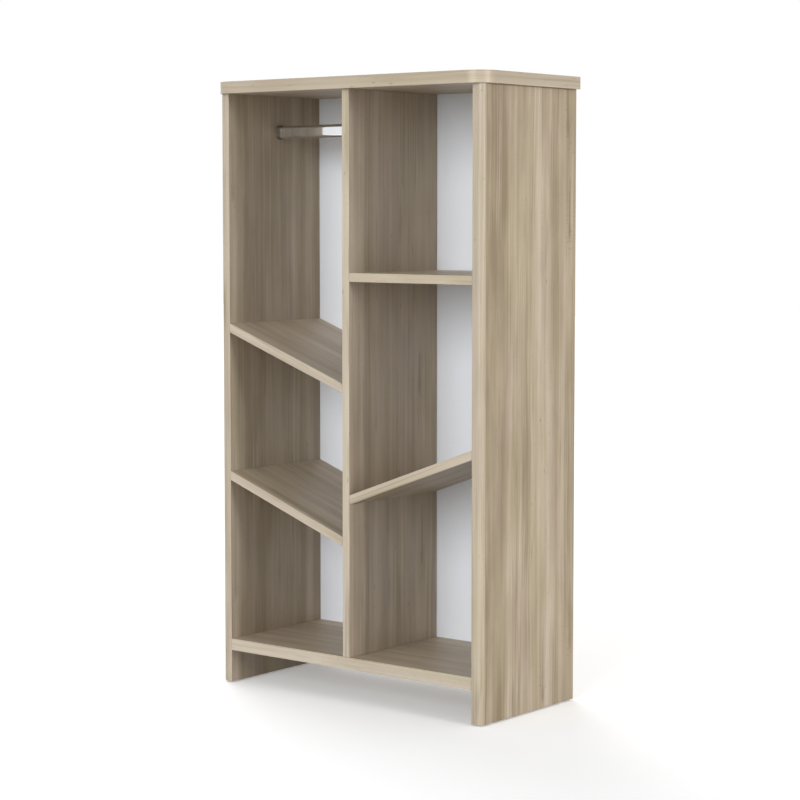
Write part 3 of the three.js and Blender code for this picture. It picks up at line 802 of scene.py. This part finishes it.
def round_the_top(place):
    """A place on the band of the top, whose grain follows the edge round the corners."""
    low, high = corners("top_panel")
    reach = (high - low) / 2
    straight = reach.x - TOP_CORNER
    nearest = max(-straight, min(straight, place.x))
    behind = place.y + reach.y - TOP_CORNER
    turn = math.atan2(abs(place.x - nearest), max(0, -behind))
    travelled = TOP_CORNER * turn + max(0, behind)
    return Vector((place.z, 0, nearest + math.copysign(travelled, place.x)))


def make_board(node):
    """A chipboard panel with decor on its faces, a band on its open edges, and its bores and groove."""
    bm = hull_of(node)
    thickness = max(bm.faces, key=lambda face: face.calc_area()).normal.copy()
    if thickness.dot(X + Z) < 0:
        thickness.negate()
    along = Z if abs(thickness.z) < 0.5 else Y.cross(thickness)

    def number(face):
        """The material number of a face. A band is on all that looks forward, and on the ends of the top."""
        if abs(face.normal.dot(thickness)) > FLAT:
            outward = face.normal.dot(face.calc_center_median() - CASE_MIDDLE) > 0
            return OUTER_FACE if node in OUTER_BOARDS and outward else INNER_FACE
        banded = face.normal.y < -0.01 or (node in BANDED_ENDS and face.normal.y < 0.5)
        return BANDED_EDGE if banded else RAW_EDGE

    banded_edges = [edge for edge in bm.edges if BANDED_EDGE in map(number, edge.link_faces)]
    round_edges(bm, EDGE_ROUNDING, chosen=banded_edges)
    bm.normal_update()
    number_faces(bm, number)

    mine = corners(node)
    cutters = [bore_for(other) for other in FASTENINGS if share_space(mine, corners(other))]
    if any(share_space(mine, corners(sheet)) for sheet in BACK_SHEETS):
        cutters.append(groove_for_back())
    bm = combine(bm, [number_faces(cutter, RAW_EDGE) for cutter in cutters])
    # The faces inside the case take the copy of the print with painted light, which lifts and cools their
    # shade
    piece = finish_piece(node, bm, DECOR, BAND, CHIPBOARD, SHADE_LIFTED_DECOR)
    mark_grain(piece, node, along, thickness, round_the_top if node in BANDED_ENDS else None)


# The back


def make_back_sheet(node):
    """Hardboard with a lacquered face towards the front. The lacquer ends on the rounding of its edges."""
    bm = round_edges(block(*corners(node)), SHEET_ROUNDING, 2)
    bm.normal_update()
    number_faces(bm, lambda face: 0 if face.normal.y < -0.9 else 1)
    finish_piece(node, bm, LACQUER, HARDBOARD)


def make_joiner(node):
    """An H strip whose lips hold the two sheets."""
    low, high = corners(node)
    wall, rounding = 1.2, 0.5
    middle = (low.x + high.x) / 2
    right = [
        (high.x, low.y),
        (high.x, low.y + wall),
        (middle + wall / 2, low.y + wall),
        (middle + wall / 2, high.y - wall),
        (high.x, high.y - wall),
        (high.x, high.y),
    ]
    outline = right + [(2 * middle - x, y) for x, y in reversed(right)]
    bm = prism([(x, y, low.z) for x, y in outline], [(x, y, high.z) for x, y in outline])
    upright = [edge for edge in bm.edges if abs(edge.verts[0].co.z - edge.verts[1].co.z) > 1]
    round_edges(bm, rounding, 4, upright)
    finish_piece(node, bm, STRIP_PVC)


# The hanging rail


def oval(x, middle, width, height):
    """Points of an upright oval with straight sides, across the rail at x."""
    radius = width / 2
    straight = height / 2 - radius
    points = []
    for i in range(2 * ARC_STEPS + 2):
        upper = i <= ARC_STEPS
        angle = math.pi * (i if upper else i - 1) / ARC_STEPS
        lift = straight if upper else -straight
        y = middle.y + radius * math.cos(angle)
        z = middle.z + radius * math.sin(angle) + lift
        points.append(Vector((x, y, z)))
    return points


def make_rail(node):
    """A chromed oval tube."""
    low, high = corners(node)
    middle = (low + high) / 2
    width, height = high.y - low.y, high.z - low.z
    bm = bmesh.new()
    rings = {}
    for x in (low.x, high.x):
        for wall in (0, RAIL_WALL):
            points = oval(x, middle, width - 2 * wall, height - 2 * wall)
            rings[x, wall] = [bm.verts.new(point) for point in points]
    for wall in (0, RAIL_WALL):
        join_rings(bm, rings[low.x, wall], rings[high.x, wall])
    for x in (low.x, high.x):
        join_rings(bm, rings[x, 0], rings[x, RAIL_WALL])
    bmesh.ops.recalc_face_normals(bm, faces=bm.faces)
    finish_piece(node, bm, CHROME)


def make_socket(node):
    """A cast cup with a soft outer rim, a screw through its floor and the rail in its pocket."""
    low, high = corners(node)
    middle = (low + high) / 2
    right = node.endswith("right")
    back, front = (high.x, low.x) if right else (low.x, high.x)
    forward = -1 if right else 1
    size = (high.y - low.y, high.z - low.z)
    bm = prism(oval(back, middle, *size), oval(front, middle, *size))
    round_edges(bm, CUP_RIM, 3, edges_where(bm, lambda place: abs(place.x - front) < SAME_PLACE))
    rail_low, rail_high = corners("hanging_rail")
    room = (rail_high.y - rail_low.y + 2 * FIT, rail_high.z - rail_low.z + 2 * FIT)
    floor, mouth = back + forward * CUP_FLOOR, front + forward * PAST
    pocket = prism(oval(floor, middle, *room), oval(mouth, middle, *room))
    screw = node.replace("socket", "socket_screw")
    finish_piece(node, combine(bm, [pocket, bore_for(screw)]), SATIN_NICKEL)


# Fastenings as pieces


def cross_recess(node, reach):
    """Cutters for the two bars of a cross recess, which narrow with depth."""
    aim = FASTENINGS[node][0]
    start = head_place(node)
    across = Y if abs(aim.y) < 0.5 else X
    mouth, floor = 1.25, 0.45  # shares of the reach
    signs = ((1, 1), (-1, 1), (-1, -1), (1, -1))
    bars = []
    for first in (across, aim.cross(across)):
        second = aim.cross(first)
        ends = []
        for distance, share in ((-PAST, mouth), (CROSS_DEPTH, floor)):
            middle = start + aim * distance
            length = first * (reach * share)
            width = second * (CROSS_WIDTH / 2)
            ends.append([middle + length * a + width * b for a, b in signs])
        bars.append(prism(*ends))
    return bars


def turned_piece(node):
    return turned_at(node, profile_of(node))


def make_dowel(node):
    piece = finish_piece(node, turned_piece(node), BEECH)
    mark_grain(piece, node, FASTENINGS[node][0], Y)


def make_case_screw(node):
    """The head has a hexagon socket with a conical floor."""
    corner, depth, floor = 2.7, 2.4, 3.2
    profile = [(0, -PAST), (corner, -PAST), (corner, depth), (0, floor)]
    socket = turned_at(node, profile, HEXAGON_SIDES)
    finish_piece(node, combine(turned_piece(node), [socket]), ZINC_PLATE)


def make_cross_screw(node):
    """The small screws and the cam bolts have a cross recess in the head."""
    finish_piece(node, combine(turned_piece(node), cross_recess(node, SCREW_CROSS)), ZINC_PLATE)


def make_cam(node):
    """The drum has room for the bolt's head, a slot for its neck, a mouth to let it in, and a cross."""
    start = head_place(node)
    bolt = node.replace("cam_", "cam_bolt_")
    outward = FASTENINGS[bolt][0]
    mouth = Z.cross(outward)
    axis = start + Z * (head_place(bolt).z - start.z)
    room, slot, chamber, out = 3.7, 2.4, 5.0, 9.0
    cutters = [
        turned([(0, -room), (chamber, -room), (chamber, room), (0, room)], axis, Z),
        block(axis - (outward + mouth + Z) * slot, axis + (outward + mouth) * out + Z * slot),
        block(axis - (outward + Z) * room, axis + (outward + Z) * room + mouth * out),
        *cross_recess(node, CAM_CROSS),
    ]
    finish_piece(node, combine(turned_piece(node), cutters), DIE_CAST)


def make_cap(node):
    """The disc, with the hexagon pin that sits in the screw's drive."""
    low, high = corners(node)
    pin_radius, pin_start, pin_end = 2.1, 1.5, high.z - low.z
    profile = [(0, pin_start), (pin_radius, pin_start), (pin_radius, pin_end), (0, pin_end)]
    pin = turned_at(node, profile, HEXAGON_SIDES)
    finish_piece(node, combine(turned_piece(node), [pin], "UNION"), CAP_PLASTIC)


def make_glide(node):
    """A plastic disc moulded round the head of a nail."""
    start = head_place(node)

    def number(face):
        middle = face.calc_center_median() - start
        return 1 if middle.xy.length < GLIDE_NAIL and middle.z > GLIDE_DISC else 0

    finish_piece(node, number_faces(turned_piece(node), number), GLIDE_PLASTIC, ZINC_PLATE)


# The wall bracket


def make_bracket(node):
    """Bent steel strip with rounded corners, a hole for the wall and two for the screws into the top."""
    low, high = corners(node)
    wall, bend, corner, rounding = 2.2, 1.2, 5, 0.25
    hole, hole_drop = 2.6, 22
    y, z = high.y, high.z
    outline = [(y, z), (low.y, z), (low.y, z - wall), (y - wall, z - wall), (y - wall, low.z), (y, low.z)]
    bm = prism([(low.x, y, z) for y, z in outline], [(high.x, y, z) for y, z in outline])

    def at_bend(y, z):
        return edges_where(bm, lambda place: abs(place.y - y) < SAME_PLACE and abs(place.z - z) < SAME_PLACE)

    def at_corners(axis, value):
        ends = edges_where(bm, lambda place: abs(place[axis] - value) < SAME_PLACE)
        return [edge for edge in ends if abs(edge.verts[0].co.x - edge.verts[1].co.x) < SAME_PLACE]

    bevel(bm, at_bend(y, z), wall + bend, 10)
    bevel(bm, at_bend(y - wall, z - wall), bend, 6)
    bevel(bm, at_corners(1, low.y) + at_corners(2, low.z), corner, 8)
    round_edges(bm, rounding, 2)
    wall_face = Vector(((low.x + high.x) / 2, y + PAST, z - hole_drop))
    length = wall + 2 * PAST
    cutters = [turned([(0, 0), (hole, 0), (hole, length), (0, length)], wall_face, -Y)]
    cutters += [bore_for(f"wall_bracket_screw_{side}") for side in SIDES]
    finish_piece(node, combine(bm, cutters), ZINC_PLATE)


# All pieces

for board in BOARDS:
    make_board(board)
for sheet in BACK_SHEETS:
    make_back_sheet(sheet)
make_joiner("back_panel_joiner")
make_rail("hanging_rail")
for side in SIDES:
    make_socket(f"rail_socket_{side}")
make_bracket("wall_bracket")

MAKERS = {
    dowel: make_dowel,
    case_screw: make_case_screw,
    small_screw: make_cross_screw,
    cam_bolt: make_cross_screw,
    cam: make_cam,
    screw_cap: make_cap,
    glide: make_glide,
}
for fastening, (_, profile) in FASTENINGS.items():
    MAKERS[profile](fastening)


# The studio


def seen_or_mirrored(tree):
    """1 for the camera's rays and those that gloss or glass sends on, and otherwise 0."""
    path = add(tree, "LightPath").outputs
    seen = path["Is Camera Ray"]
    for other in ("Is Glossy Ray", "Is Transmission Ray"):
        seen = add(tree, "Math", {0: seen, 1: path[other]}, operation="MAXIMUM")
    return seen


def make_world():
    """White for the camera and for reflections, and a plain soft dome for all other light."""
    world = bpy.data.worlds.new("studio")
    world.use_nodes = True
    tree = world.node_tree
    tree.nodes.clear()
    values = {0: seen_or_mirrored(tree), 1: 1 - DOME_STRENGTH, 2: DOME_STRENGTH}
    strength = add(tree, "Math", values, operation="MULTIPLY_ADD")
    sky = add(tree, "Background", {"Color": (1, 1, 1, 1), "Strength": strength})
    add(tree, "OutputWorld", {"Surface": sky})
    bpy.context.scene.world = world


def make_floor():
    """A plain matt floor: white to the camera and to reflections, and grey to other rays.

    The grey keeps the glow that it throws on the case low.
    """
    bm = bmesh.new()
    bmesh.ops.create_grid(bm, x_segments=1, y_segments=1, size=FLOOR_REACH)
    material, tree = new_material("floor")
    seen = seen_or_mirrored(tree)
    tones = {"Factor": seen, "A": linear("#C4C4C4"), "B": linear("#FCFCFC")}
    colour = add(tree, "Mix", tones, data_type="RGBA")
    lift = add(tree, "Math", {0: seen, 1: FLOOR_LIFT}, operation="MULTIPLY")
    glow = {"Emission Color": (1, 1, 1, 1), "Emission Strength": lift}
    shader = add(tree, "BsdfPrincipled", {"Base Color": colour, "Roughness": 0.9, **glow})
    add(tree, "OutputMaterial", {"Surface": shader})
    as_object("floor", bm, [material])


def make_lamps():
    """Broad soft light from low in front, and lights at the right and behind."""
    for name, light in LAMPS.items():
        lamp = bpy.data.lights.new(name, "SUN")
        lamp.energy = light["power"]
        lamp.color = linear(light["colour"])[:3]
        lamp.angle = math.radians(light["width"])
        made = bpy.data.objects.new(name, lamp)
        turn, height = math.radians(light["turn"]), math.radians(light["height"])
        made.rotation_euler = (math.pi / 2 - height, 0, turn)
        bpy.context.scene.collection.objects.link(made)


def make_camera():
    lens = bpy.data.cameras.new("camera")
    lens.lens = CAMERA_LENS
    lens.sensor_width = CAMERA_SENSOR
    lens.shift_y = CAMERA_SHIFT
    camera = bpy.data.objects.new("camera", lens)
    camera.location = CAMERA_PLACE
    camera.rotation_euler = (math.radians(90 + CAMERA_PITCH), 0, math.radians(CAMERA_TURN))
    bpy.context.scene.collection.objects.link(camera)
    bpy.context.scene.camera = camera


make_world()
make_floor()
make_lamps()
make_camera()
bpy.context.scene.view_settings.view_transform = "Standard"

bpy.context.view_layer.update()
